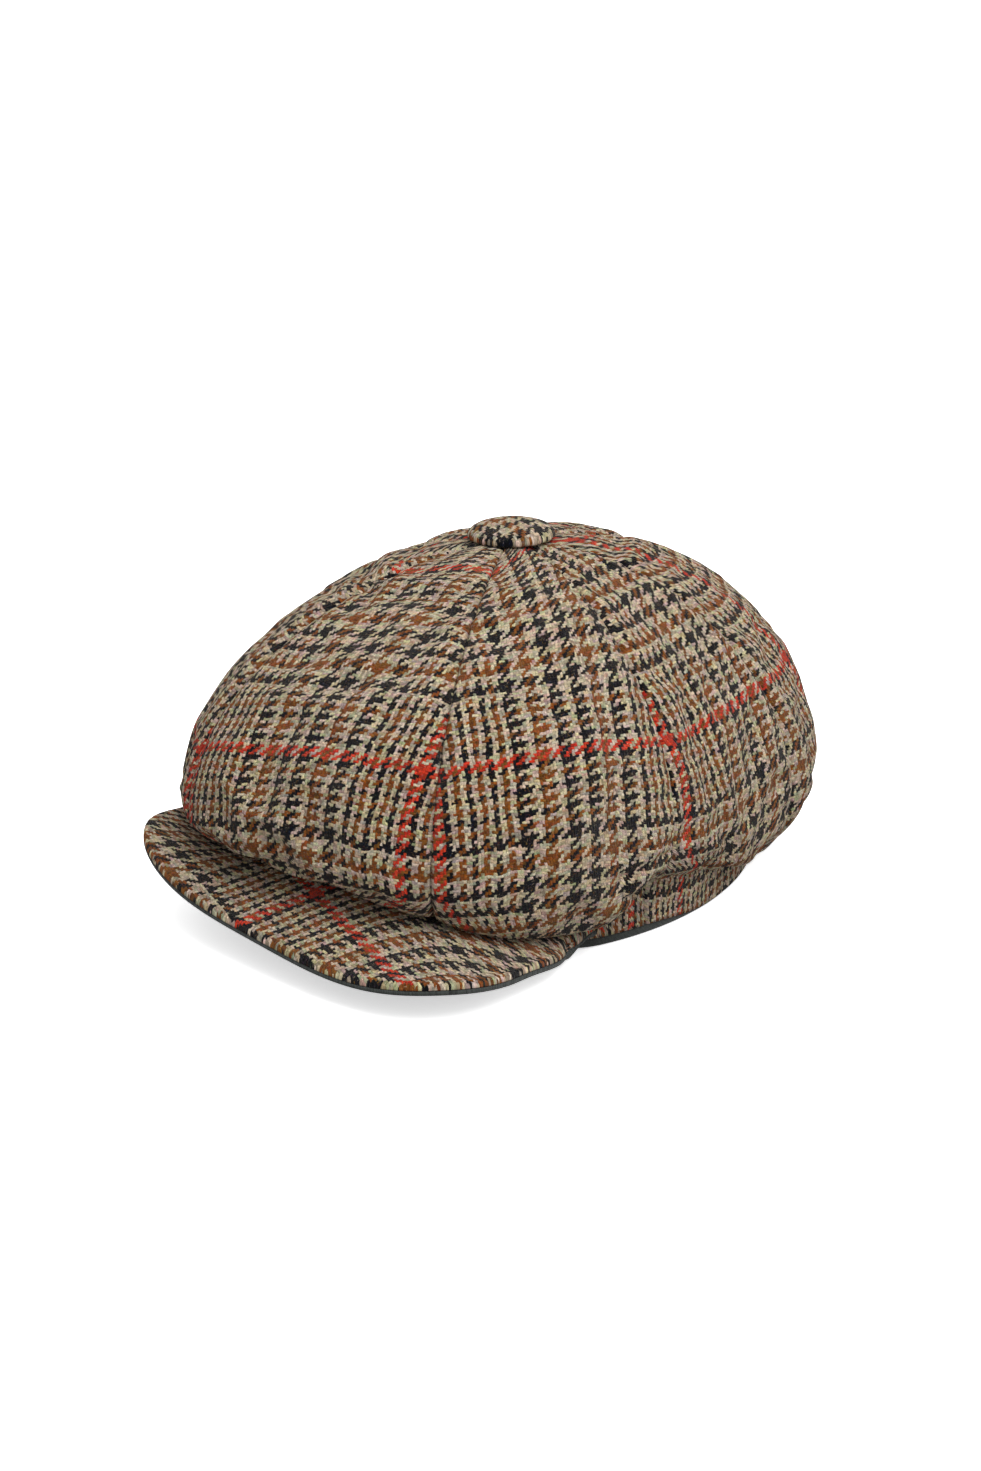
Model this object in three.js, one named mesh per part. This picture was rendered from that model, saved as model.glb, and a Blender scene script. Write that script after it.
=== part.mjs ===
// An eight-panel newsboy cap: a full, soft crown of eight tweed panels that meet under a covered
// button, a lining of eight panels, an inner head band and a short stiffened visor.
// Millimetres. +Z is up and the visor points along -Y. The origin is under the middle of the whole
// cap, on the plane that it rests on. The code below works round the centre of the head opening and
// moves the cap over the origin at the end. There, angle 0 is the front and +90 degrees is +X,
// which is the wearer's left.
import * as THREE from "three";

// ---------- driving dimensions ----------

// Head oval, measured inside the sweatband: about 580 mm round, a 58 cm head.
const headHalfWidth = 83;
const headHalfLength = 101;

// Layers of the band, from the head outwards.
const sweatbandThickness = 1.6;
const interfacingThickness = 1.2;
const clothThickness = 2;
const layerGap = 0.4;

// Heights of the band.
const sweatbandHeight = 24;
const frontEdgeRise = 28; // the head opening arches up over the visor
const sweatbandShows = 4; // the sweatband stands this far below the tweed
const interfacingSetBack = 2;

// The crown at its widest, seen from above: a squarish oval.
const crownHalfWidth = 101;
const crownHalfLength = 138;
const crownCentreY = -3;
const crownSquareness = 2.45;

// Heights of the crown.
const crownTop = 131;
const widestHeightBack = 31;
const widestHeightFront = 50;
const domeFullness = 0.55; // lower is a fuller shoulder
const foldHeightBack = 5;
const foldHeightFront = 42;
const foldSweep = 3.2; // how quickly the fold drops from the front to the sides

// Panels.
const panelNames = ["front", "front_left", "left", "back_left", "back", "back_right", "right", "front_right"];
const seamAngles = [24, 71, 117, 160]; // from the front round to the back, the same on both sides
const seamGap = 0.3;
const topHoleRadius = 4;

// Lining.
const liningInset = 6;
const liningThickness = 0.8;
const liningHoleRadius = 2;
const liningAboveSweatband = 1.5;

// Visor: its rim is a squarish oval of its own, cut off by the head band.
const visorHalfWidth = 86;
const visorCentreY = -102;
const visorReachFront = 49;
const visorReachBack = 48;
const visorSquareness = 2.9;
const visorRimTurn = 128; // degrees round the rim oval from the front to the end of the visor
const visorRootTurn = 60.5; // degrees round the head band to the same place
const visorSpan = 0.96; // share of that length before the end is cut off square
const visorRootGapFront = 0.9;
const visorRootGapEnd = 2.5;
const visorRootFront = 34;
const visorRootEnd = 8;
const visorRimFront = 14;
const visorRimLift = 4; // the rim rises this much half-way round, and drops again to its ends
const visorTopThickness = 1.2;
const visorBoardThickness = 1.6;
const visorUnderThickness = 1;
const visorLayerGap = 0.6;
const visorBoardInset = 0.04; // share of the visor's depth, at the band and at the rim

// Button.
const buttonRadius = 16.5;
const buttonHeight = 5.5;
const buttonLift = 0.4;
const buttonClothThickness = 1;
const buttonShellThickness = 0.6;
const buttonPlateThickness = 0.8;
const buttonPlateShare = 0.85; // of the radius of the shell over it
const shankRadius = 1.2;
const shankHeadRadius = 6;
const shankHeadThickness = 0.8;

// Size label on the inside of the sweatband, at the back.
const labelWidth = 32;
const labelHeight = 16;
const labelThickness = 0.4;
const labelLift = 4;

// Divisions of the solids.
const panelColumns = 6;
const panelDomeRows = 8;
const panelTuckRows = 4;
const liningColumns = 4;
const liningDomeRows = 6;
const liningTuckRows = 2;
const bandSegments = 40;
const labelColumns = 4;
const visorColumns = 36;
const visorRows = 4;
const buttonSegments = 24;
const buttonArcSteps = 5;

// ---------- colours ----------

const tweed = { color: 0x8d8068, roughness: 0.95, metalness: 0 };
const darkCloth = { color: 0x2c2f2d, roughness: 0.9, metalness: 0 };
const satin = { color: 0x3a3733, roughness: 0.45, metalness: 0 };
const stiffener = { color: 0xd8d2c4, roughness: 0.8, metalness: 0 };
const tinPlate = { color: 0xa9abad, roughness: 0.4, metalness: 1 };
const labelCloth = { color: 0xe9e6de, roughness: 0.7, metalness: 0 };

// ---------- curves and heights ----------

const radians = THREE.MathUtils.degToRad;
const lerp = THREE.MathUtils.lerp;

// Share of frontness of an angle: 1 at the front, 0 at the back.
const frontness = (angle) => (1 + Math.cos(angle)) / 2;

// Distance from an oval's centre to its edge at an angle, in plan.
function ovalRadius(angle, halfWidth, halfLength, squareness) {
  const across = Math.abs(Math.sin(angle) / halfWidth) ** squareness;
  const along = Math.abs(Math.cos(angle) / halfLength) ** squareness;
  return (across + along) ** (-1 / squareness);
}

function crownOutline(angle, inset) {
  const radius = ovalRadius(angle, crownHalfWidth - inset, crownHalfLength - inset, crownSquareness);
  return new THREE.Vector2(radius * Math.sin(angle), -radius * Math.cos(angle));
}

// A point of the head band, a distance outside the head oval.
function bandPoint(angle, outside) {
  const x = (headHalfWidth + outside) * Math.sin(angle);
  const y = -(headHalfLength + outside) * Math.cos(angle);
  return new THREE.Vector2(x, y);
}

const interfacingOutside = sweatbandThickness + layerGap;
const clothOutside = interfacingOutside + interfacingThickness + layerGap + clothThickness;

const widestHeight = (angle) =>
  lerp(widestHeightBack, widestHeightFront, frontness(angle) ** 2);

const foldHeight = (angle) =>
  lerp(foldHeightBack, foldHeightFront, frontness(angle) ** foldSweep);

// The lower edge of the sweatband is level at the sides and back, and arches up over the visor.
function openingHeight(angle) {
  const wrapped = Math.atan2(Math.sin(angle), Math.cos(angle));
  const share = Math.min(1, Math.abs(wrapped) / radians(visorRootTurn));
  return frontEdgeRise * Math.cos((share * Math.PI) / 2) ** 2;
}

// ---------- bending plain solids ----------

// Moves each corner of a geometry to where place(x, y, z) says.
function bend(geometry, place) {
  const corners = geometry.getAttribute("position");
  for (let i = 0; i < corners.count; i++) {
    const moved = place(corners.getX(i), corners.getY(i), corners.getZ(i));
    corners.setXYZ(i, moved.x, moved.y, moved.z);
  }
  geometry.computeVertexNormals();
  return geometry;
}

// A sheet: a flat box of the given divisions, bent by place(across, along, outward).
// across runs from -1 to 1, along from 0 to 1, and outward from 0 on the inner face to 1.
function sheet(columns, rows, place) {
  const box = new THREE.BoxGeometry(2, 1, 1, columns, rows, 1);
  return bend(box, (x, y, z) => place(x, 0.5 - y, z + 0.5));
}

// A closed ring of rectangular section, bent by place(angle, height, outward).
function ring(segments, rows, place) {
  const section = [];
  for (let row = rows; row >= 0; row--) section.push(new THREE.Vector2(2, row / rows));
  for (let row = 0; row <= rows; row++) section.push(new THREE.Vector2(1, row / rows));
  section.push(section[0].clone());
  const lathe = new THREE.LatheGeometry(section, segments);
  return bend(lathe, (x, y, z) => place(Math.atan2(x, -z), y, Math.hypot(x, z) - 1));
}

// ---------- crown ----------

// A point on the dome. reach runs from 0 on the axis to 1 at the widest line.
function domePoint(angle, reach, inset) {
  const widest = widestHeight(angle);
  const plan = crownOutline(angle, inset).multiplyScalar(reach);
  const rise = Math.max(0, 1 - reach ** 2) ** domeFullness;
  const z = lerp(widest, crownTop - inset, rise);
  return new THREE.Vector3(plan.x, plan.y + crownCentreY, z);
}

// A point on the tuck, a quarter of an oval from the widest line in to the head band.
function tuckPoint(angle, share, inset, endOutside, endHeight) {
  const turn = (share * Math.PI) / 2;
  const inward = 1 - Math.cos(turn);
  const down = Math.sin(turn);
  const outline = crownOutline(angle, inset);
  const band = bandPoint(angle, endOutside);
  const x = lerp(outline.x, band.x, inward);
  const y = lerp(outline.y + crownCentreY, band.y, inward);
  return new THREE.Vector3(x, y, lerp(widestHeight(angle), endHeight, down));
}

// How far out a row of the dome is, from the hole at the top to the widest line. The rows crowd
// together towards the widest line, where the dome curves most.
function domeReach(share, holeRadius) {
  if (share >= 1) return 1;
  return lerp(holeRadius / crownHalfWidth, 1, Math.sin((share * Math.PI) / 2));
}

// Every seam in turn, starting with the one before the front panel.
const seams = [-seamAngles[0], ...seamAngles, ...seamAngles.toReversed().map((angle) => 360 - angle)];

// A panel's edges keep half a seam's gap from the plane of the seam, at every distance.
function panelDirection(index, across, radius) {
  const middle = radians(seams[index] + seams[index + 1]) / 2;
  const half = radians(seams[index + 1] - seams[index]) / 2 - Math.asin(seamGap / 2 / radius);
  return middle + across * half;
}

// The tweed runs over the dome, tucks under and stands against the head band.
function crownPanel(index) {
  const rows = panelDomeRows + panelTuckRows + 1;
  return sheet(panelColumns, rows, (across, along, outward) => {
    const inset = clothThickness * (1 - outward);
    const row = Math.round(along * rows);
    const reach = domeReach(row / panelDomeRows, topHoleRadius);
    const angle = panelDirection(index, across, crownHalfWidth * reach);
    if (row <= panelDomeRows) return domePoint(angle, reach, inset);
    const fold = foldHeight(angle) + inset;
    const tuckShare = (row - panelDomeRows) / panelTuckRows;
    if (tuckShare <= 1) return tuckPoint(angle, tuckShare, inset, clothOutside - inset, fold);
    const edge = bandPoint(angle, clothOutside - inset);
    return new THREE.Vector3(edge.x, edge.y, openingHeight(angle) + sweatbandShows);
  });
}

// The lining follows the dome and ends on top of the sweatband.
function liningPanel(index) {
  const rows = liningDomeRows + liningTuckRows;
  return sheet(liningColumns, rows, (across, along, outward) => {
    const inset = liningInset + liningThickness * (1 - outward);
    const row = Math.round(along * rows);
    const reach = domeReach(row / liningDomeRows, liningHoleRadius);
    const angle = panelDirection(index, across, crownHalfWidth * reach);
    if (row <= liningDomeRows) return domePoint(angle, reach, inset);
    const top = openingHeight(angle) + sweatbandHeight + liningAboveSweatband;
    const endHeight = top + inset - liningInset;
    const endOutside = sweatbandThickness - (inset - liningInset);
    return tuckPoint(angle, (row - liningDomeRows) / liningTuckRows, inset, endOutside, endHeight);
  });
}

// ---------- head band ----------

function sweatband() {
  return ring(bandSegments, 1, (angle, height, outward) => {
    const plan = bandPoint(angle, sweatbandThickness * outward);
    const z = openingHeight(angle) + sweatbandHeight * height;
    return new THREE.Vector3(plan.x, plan.y, z);
  });
}

function interfacing() {
  return ring(bandSegments, 1, (angle, height, outward) => {
    const plan = bandPoint(angle, interfacingOutside + interfacingThickness * outward);
    const low = sweatbandShows + interfacingSetBack;
    const z = openingHeight(angle) + lerp(low, sweatbandHeight - interfacingSetBack, height);
    return new THREE.Vector3(plan.x, plan.y, z);
  });
}

function sizeLabel() {
  return sheet(labelColumns, 1, (across, along, outward) => {
    const angle = Math.PI + (across * labelWidth) / 2 / headHalfLength;
    const plan = bandPoint(angle, labelThickness * (outward - 1) - layerGap);
    const z = labelLift + labelHeight * (1 - along);
    return new THREE.Vector3(plan.x, plan.y, z);
  });
}

// ---------- visor ----------

// Plan of the rim at a share (-1 to 1) of the visor's length.
function rimPoint(share) {
  const turn = radians(visorRimTurn) * share;
  const power = 2 / visorSquareness;
  const across = Math.sign(turn) * Math.abs(Math.sin(turn)) ** power;
  const along = Math.abs(Math.cos(turn)) ** power;
  const inFront = Math.cos(turn) > 0;
  const y = visorCentreY - along * (inFront ? visorReachFront : -visorReachBack);
  return new THREE.Vector2(visorHalfWidth * across, y);
}

// Middle surface of the visor: share runs along it and depth from 0 at the band to 1 at the rim.
function visorPoint(share, depth) {
  const rootGap = lerp(visorRootGapFront, visorRootGapEnd, share ** 2);
  const root = bandPoint(radians(visorRootTurn) * share, clothOutside + rootGap);
  const rim = rimPoint(share);
  const rootHeight = lerp(visorRootEnd, visorRootFront, Math.cos((share * Math.PI) / 2) ** 2);
  const rimRise = visorRimLift * Math.sin(Math.PI * share) ** 2;
  const x = lerp(root.x, rim.x, depth);
  const y = lerp(root.y, rim.y, depth);
  return new THREE.Vector3(x, y, lerp(rootHeight, visorRimFront + rimRise, depth));
}

// One layer of the visor between two heights over its middle surface.
function visorLayer(low, high, inset) {
  return sheet(visorColumns, visorRows, (across, along, outward) => {
    const depth = lerp(inset, 1 - inset, along);
    const point = visorPoint(across * visorSpan, depth);
    point.z += lerp(low, high, outward);
    return point;
  });
}

const boardHalf = visorBoardThickness / 2;
const visorTopLow = boardHalf + visorLayerGap;
const visorUnderHigh = -boardHalf - visorLayerGap;

// ---------- button ----------

// A quarter of an oval, from its rim up to the axis.
function quarterOval(radius, height, base) {
  const points = [];
  for (let step = 0; step < buttonArcSteps; step++) {
    const turn = ((step / buttonArcSteps) * Math.PI) / 2;
    points.push(new THREE.Vector2(radius * Math.cos(turn), base + height * Math.sin(turn)));
  }
  points.push(new THREE.Vector2(0, base + height));
  return points;
}

// A shallow cap over a disc, hollow underneath.
function cappedDisc(radius, height, thickness, base) {
  const outer = quarterOval(radius, height, base);
  const inner = quarterOval(radius - thickness, height - thickness, base).reverse();
  return turned([...outer, ...inner, outer[0].clone()]);
}

function turned(outline) {
  return new THREE.LatheGeometry(outline, buttonSegments).rotateX(Math.PI / 2);
}

// A flat-headed pin: a head under the crown cloth and a shank up to the back plate.
function shank(low, high) {
  const headTop = low + shankHeadThickness;
  return turned([
    new THREE.Vector2(0, low),
    new THREE.Vector2(shankHeadRadius, low),
    new THREE.Vector2(shankHeadRadius, headTop),
    new THREE.Vector2(shankRadius, headTop),
    new THREE.Vector2(shankRadius, high),
    new THREE.Vector2(0, high),
  ]);
}

function plate(radius, low, high) {
  return turned([
    new THREE.Vector2(0, low),
    new THREE.Vector2(radius, low),
    new THREE.Vector2(radius, high),
    new THREE.Vector2(0, high),
  ]);
}

// ---------- assembly ----------

function part(name, geometry, look) {
  const mesh = new THREE.Mesh(geometry, new THREE.MeshStandardMaterial(look));
  mesh.name = name;
  return mesh;
}

function crown() {
  const group = new THREE.Group();
  panelNames.forEach((name, index) => {
    group.add(part("crown_panel_" + name, crownPanel(index), tweed));
    group.add(part("lining_panel_" + name, liningPanel(index), satin));
  });
  return group;
}

function headBand() {
  const group = new THREE.Group();
  group.add(part("sweatband", sweatband(), darkCloth));
  group.add(part("band_interfacing", interfacing(), stiffener));
  group.add(part("size_label", sizeLabel(), labelCloth));
  return group;
}

function visor() {
  const group = new THREE.Group();
  const top = visorLayer(visorTopLow, visorTopLow + visorTopThickness, 0);
  const board = visorLayer(-boardHalf, boardHalf, visorBoardInset);
  const under = visorLayer(visorUnderHigh - visorUnderThickness, visorUnderHigh, 0);
  group.add(part("visor_top_cover", top, tweed));
  group.add(part("visor_board", board, stiffener));
  group.add(part("visor_under_cover", under, darkCloth));
  return group;
}

// The button stands on the crown's top. Heights here are over that top.
function button() {
  const group = new THREE.Group();
  group.position.set(0, crownCentreY, crownTop);
  const shellRadius = buttonRadius - buttonClothThickness - layerGap;
  const shellHeight = buttonHeight - buttonClothThickness - layerGap;
  const plateRadius = shellRadius * buttonPlateShare;
  const plateTop = buttonLift + buttonPlateThickness;
  const cover = cappedDisc(buttonRadius, buttonHeight, buttonClothThickness, buttonLift);
  const shell = cappedDisc(shellRadius, shellHeight, buttonShellThickness, buttonLift);
  const pinLow = -clothThickness - layerGap - shankHeadThickness;
  group.add(part("button_cover", cover, tweed));
  group.add(part("button_shell", shell, tinPlate));
  group.add(part("button_back_plate", plate(plateRadius, buttonLift, plateTop), tinPlate));
  group.add(part("button_shank", shank(pinLow, buttonLift - seamGap), tinPlate));
  return group;
}

const foremost = visorCentreY - visorReachFront;
const rearmost = crownCentreY + crownHalfLength;

const cap = new THREE.Group();
cap.position.y = -(foremost + rearmost) / 2;
cap.add(crown(), headBand(), visor(), button());

export default cap;
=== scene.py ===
"""Looks of an eight-panel tweed newsboy cap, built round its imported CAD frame.

Metres throughout, +Z up, the visor along -Y. Shapes are worked out round the centre of the head
opening: angle 0 is the front there, and +90 degrees is +X, the wearer's left.
"""

import math

import bpy
import numpy as np
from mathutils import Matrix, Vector
from mathutils.bvhtree import BVHTree


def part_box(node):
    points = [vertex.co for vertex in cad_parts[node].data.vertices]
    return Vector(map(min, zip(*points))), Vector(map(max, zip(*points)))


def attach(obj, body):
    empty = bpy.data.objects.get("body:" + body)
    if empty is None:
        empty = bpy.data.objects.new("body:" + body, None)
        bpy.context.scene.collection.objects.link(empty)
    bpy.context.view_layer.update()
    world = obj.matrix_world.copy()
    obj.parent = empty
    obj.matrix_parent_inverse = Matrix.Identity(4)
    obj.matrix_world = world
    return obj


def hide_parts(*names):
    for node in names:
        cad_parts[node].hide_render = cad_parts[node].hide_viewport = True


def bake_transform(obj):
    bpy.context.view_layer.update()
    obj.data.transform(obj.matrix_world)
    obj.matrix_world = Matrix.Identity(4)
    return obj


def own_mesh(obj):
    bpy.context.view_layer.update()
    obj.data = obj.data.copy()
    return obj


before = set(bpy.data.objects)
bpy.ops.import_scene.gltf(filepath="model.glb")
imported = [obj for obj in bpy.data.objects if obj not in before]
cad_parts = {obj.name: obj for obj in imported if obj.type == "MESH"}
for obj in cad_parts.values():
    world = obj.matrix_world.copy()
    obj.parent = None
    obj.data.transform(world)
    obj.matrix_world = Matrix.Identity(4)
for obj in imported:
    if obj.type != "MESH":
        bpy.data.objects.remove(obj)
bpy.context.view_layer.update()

MM = 0.001

# ---------- sizes read from the frame ----------

PANELS = ["front", "front_left", "left", "back_left", "back", "back_right", "right", "front_right"]


def union_box(nodes):
    boxes = [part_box(node) for node in nodes]
    low = Vector(map(min, *[b[0] for b in boxes]))
    high = Vector(map(max, *[b[1] for b in boxes]))
    return low, high


crown_low, crown_high = union_box(["crown_panel_" + name for name in PANELS])
band_low, band_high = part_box("sweatband")
button_low, button_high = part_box("button_cover")

OPENING_Y = (band_low.y + band_high.y) / 2
BAND_THICKNESS = 1.6 * MM
HEAD_HALF_WIDTH = band_high.x - BAND_THICKNESS
HEAD_HALF_LENGTH = (band_high.y - band_low.y) / 2 - BAND_THICKNESS
CROWN_HALF_WIDTH = crown_high.x
CROWN_HALF_LENGTH = (crown_high.y - crown_low.y) / 2
CROWN_Y = (crown_high.y + crown_low.y) / 2
CROWN_TOP = crown_high.z

# ---------- the crown's shape ----------

SEAM_ANGLES = [24, 71, 117, 160]  # of the seams on each side, in degrees from the front
SQUARENESS = 2.45  # of the outline seen from above: 2 is an ellipse
WIDEST_BACK = 31 * MM  # height of the crown's widest line
WIDEST_FRONT = 50 * MM
FULLNESS = 0.55  # of the dome: 0.5 is a quarter ellipse
FOLD_BACK = 5 * MM  # height of the fold where the crown turns down over the band
FOLD_FRONT = 42 * MM
FOLD_SWEEP = 3.2  # how quickly the fold drops from the front to the back
FRONT_RISE = 28 * MM  # how far the opening's edge is lifted over the visor
RISE_TURN = 60.5  # degrees from the front where it lies flat again
TWEED_EDGE = 4 * MM  # at the front the tweed ends this far above the sweatband's lower edge
TWEED_EDGE_SIDE = 1.5 * MM  # and this far at the sides and back
TWEED_EDGE_TURN = 70  # degrees from the front where it starts to come down
TWEED_EDGE_SWEEP = 20
CLOTH_OUTSIDE = 5.6 * MM  # of the tweed, from the head oval
TWEED_THICKNESS = 1.8 * MM
LINING_INSET = 6 * MM
LINING_THICKNESS = 0.7 * MM
BAND_HEIGHT = 24 * MM

# The stuffed crown sags onto the visor, more on the wearer's left: (degrees, sag) going round.
SAG = [(-180, 0), (-110, 0), (-60, 3), (-25, 6), (0, 9), (15, 12), (30, 14.5), (48, 14.5), (56, 11),
       (64, 0), (70, 0), (180, 0)]
FOLD_SIDE_LIFT = 8 * MM  # the fold is higher than in the frame at both sides
FOLD_SIDE_ANGLE = 84  # degrees from the front where it is highest
FOLD_SIDE_SPREAD = 24


def lerp(a, b, t):
    return a + (b - a) * t


def smooth(t):
    t = np.clip(t, 0, 1)
    return t * t * (3 - 2 * t)


def window(place, start, rise, stop, fall):
    """1 between two places and 0 outside them. It rises after the start and falls before the stop."""
    return smooth((place - start) / rise) * smooth((stop - place) / fall)


def frontness(angle):
    """1 at the front, 0 at the back."""
    return (1 + np.cos(angle)) / 2


def crown_outline(angle, inset):
    """(x, y) of the crown seen from above."""
    across = np.abs(np.sin(angle) / (CROWN_HALF_WIDTH - inset)) ** SQUARENESS
    along = np.abs(np.cos(angle) / (CROWN_HALF_LENGTH - inset)) ** SQUARENESS
    radius = (across + along) ** (-1 / SQUARENESS)
    return radius * np.sin(angle), CROWN_Y - radius * np.cos(angle)


def band_outline(angle, outside):
    """(x, y) of an oval at a distance outside the wearer's head."""
    x = (HEAD_HALF_WIDTH + outside) * np.sin(angle)
    y = OPENING_Y - (HEAD_HALF_LENGTH + outside) * np.cos(angle)
    return x, y


def widest_height(angle):
    return lerp(WIDEST_BACK, WIDEST_FRONT, frontness(angle) ** 2)


def fold_height(angle):
    return lerp(FOLD_BACK, FOLD_FRONT, frontness(angle) ** FOLD_SWEEP)


def from_front(angle):
    """Degrees from the front, -180 to 180."""
    return np.degrees(np.arctan2(np.sin(angle), np.cos(angle)))


def opening_height(angle):
    """Height of the head opening's lower edge."""
    share = np.minimum(1, np.abs(from_front(angle)) / RISE_TURN)
    return FRONT_RISE * np.cos(share * np.pi / 2) ** 2


def tweed_edge_height(angle):
    """Height of the tweed's lower edge over the sweatband's."""
    aside = smooth((np.abs(from_front(angle)) - TWEED_EDGE_TURN) / TWEED_EDGE_SWEEP)
    return opening_height(angle) + lerp(TWEED_EDGE, TWEED_EDGE_SIDE, aside)


def smooth_curve(stops, place):
    """A smooth curve through (place, value) stops."""
    places, values = np.array(stops, float).T
    slopes = np.gradient(values, places)
    near = np.clip(np.searchsorted(places, place) - 1, 0, len(places) - 2)
    width = places[near + 1] - places[near]
    t = np.clip((place - places[near]) / width, 0, 1)
    bend = slopes[near] * (t**3 - 2 * t**2 + t) + slopes[near + 1] * (t**3 - t**2)
    return lerp(values[near], values[near + 1], smooth(t)) + width * bend


def sag_depth(angle):
    return smooth_curve(SAG, from_front(angle)) * MM


def tweed_fold_height(angle):
    aside = (np.abs(from_front(angle)) - FOLD_SIDE_ANGLE) / FOLD_SIDE_SPREAD
    return fold_height(angle) + FOLD_SIDE_LIFT * np.exp(-(aside**2))


def crown_point(angle, share, inset, end_height, end_outside):
    """A point of the crown: share 0 is its top, 1 its widest line, and 2 where the tuck meets the band."""
    reach = np.sin(np.clip(share, 0, 1) * np.pi / 2)
    x, y = crown_outline(angle, inset)
    widest = widest_height(angle)
    dome = np.clip(1 - reach**2, 0, 1) ** FULLNESS
    z = lerp(widest, CROWN_TOP - inset, dome)
    x, y = x * reach, CROWN_Y + (y - CROWN_Y) * reach
    turn = np.clip(share - 1, 0, 1) * np.pi / 2
    band_x, band_y = band_outline(angle, end_outside)
    inward = 1 - np.cos(turn)
    tucked = share > 1
    x = np.where(tucked, lerp(x, band_x, inward), x)
    y = np.where(tucked, lerp(y, band_y, inward), y)
    z = np.where(tucked, lerp(widest, end_height, np.sin(turn)), z)
    return np.stack([x, y, z], -1)


# ---------- meshes from grids of points ----------


def new_object(name, vertices, faces, thread=None):
    mesh = bpy.data.meshes.new(name)
    mesh.from_pydata(vertices.reshape(-1, 3).tolist(), [], faces)
    mesh.validate()
    mesh.update()
    if thread is not None:
        attribute = mesh.attributes.new("thread", "FLOAT_VECTOR", "POINT")
        values = np.zeros((len(mesh.vertices), 3), np.float32)
        values[:, :2] = thread.reshape(-1, 2)
        attribute.data.foreach_set("vector", values.ravel())
    mesh.polygons.foreach_set("use_smooth", [True] * len(mesh.polygons))
    obj = bpy.data.objects.new(name, mesh)
    bpy.context.scene.collection.objects.link(obj)
    return obj


def round_off(inside):
    """How far a rounded edge has dropped, in radii. inside is 0 at its start and 1 at its end."""
    return 1 - np.sqrt(1 - inside**2 * 0.999)


def grid_normals(points):
    """Unit normals of a grid of points, rows by columns, pointing out of a grid seen anticlockwise."""
    down = np.gradient(points, axis=0)
    over = np.gradient(points, axis=1)
    normal = np.cross(down, over)
    return normal / np.maximum(np.linalg.norm(normal, axis=-1, keepdims=True), 1e-12)


def closed_sheet(name, outer, inner, thread):
    """A closed solid between two grids, with walls along all four edges."""
    rows, columns = outer.shape[:2]
    index = np.arange(rows * columns).reshape(rows, columns)
    a, b, c, d = index[:-1, :-1], index[1:, :-1], index[1:, 1:], index[:-1, 1:]
    top = np.stack([a, b, c, d], -1).reshape(-1, 4)
    under = np.stack([d, c, b, a], -1).reshape(-1, 4) + rows * columns
    rim = np.concatenate([index[:, 0], index[-1, 1:], index[-2::-1, -1], index[0, -2:0:-1]])
    after = np.roll(rim, -1)
    shift = rows * columns
    wall = np.stack([rim, rim + shift, after + shift, after], -1)
    faces = np.concatenate([top, under, wall]).tolist()
    points = np.concatenate([outer.reshape(-1, 3), inner.reshape(-1, 3)])
    threads = np.concatenate([thread.reshape(-1, 2)] * 2)
    return new_object(name, points, faces, threads)


def closed_ring(name, section, thread):
    """A closed ring: section is rows by columns, and both directions run round."""
    rows, columns = section.shape[:2]
    index = np.arange(rows * columns).reshape(rows, columns)
    down = np.roll(index, -1, axis=0)
    over = np.roll(index, -1, axis=1)
    both = np.roll(down, -1, axis=1)
    faces = np.stack([index, down, both, over], -1).reshape(-1, 4).tolist()
    return new_object(name, section, faces, thread)


# ---------- node materials ----------


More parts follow.
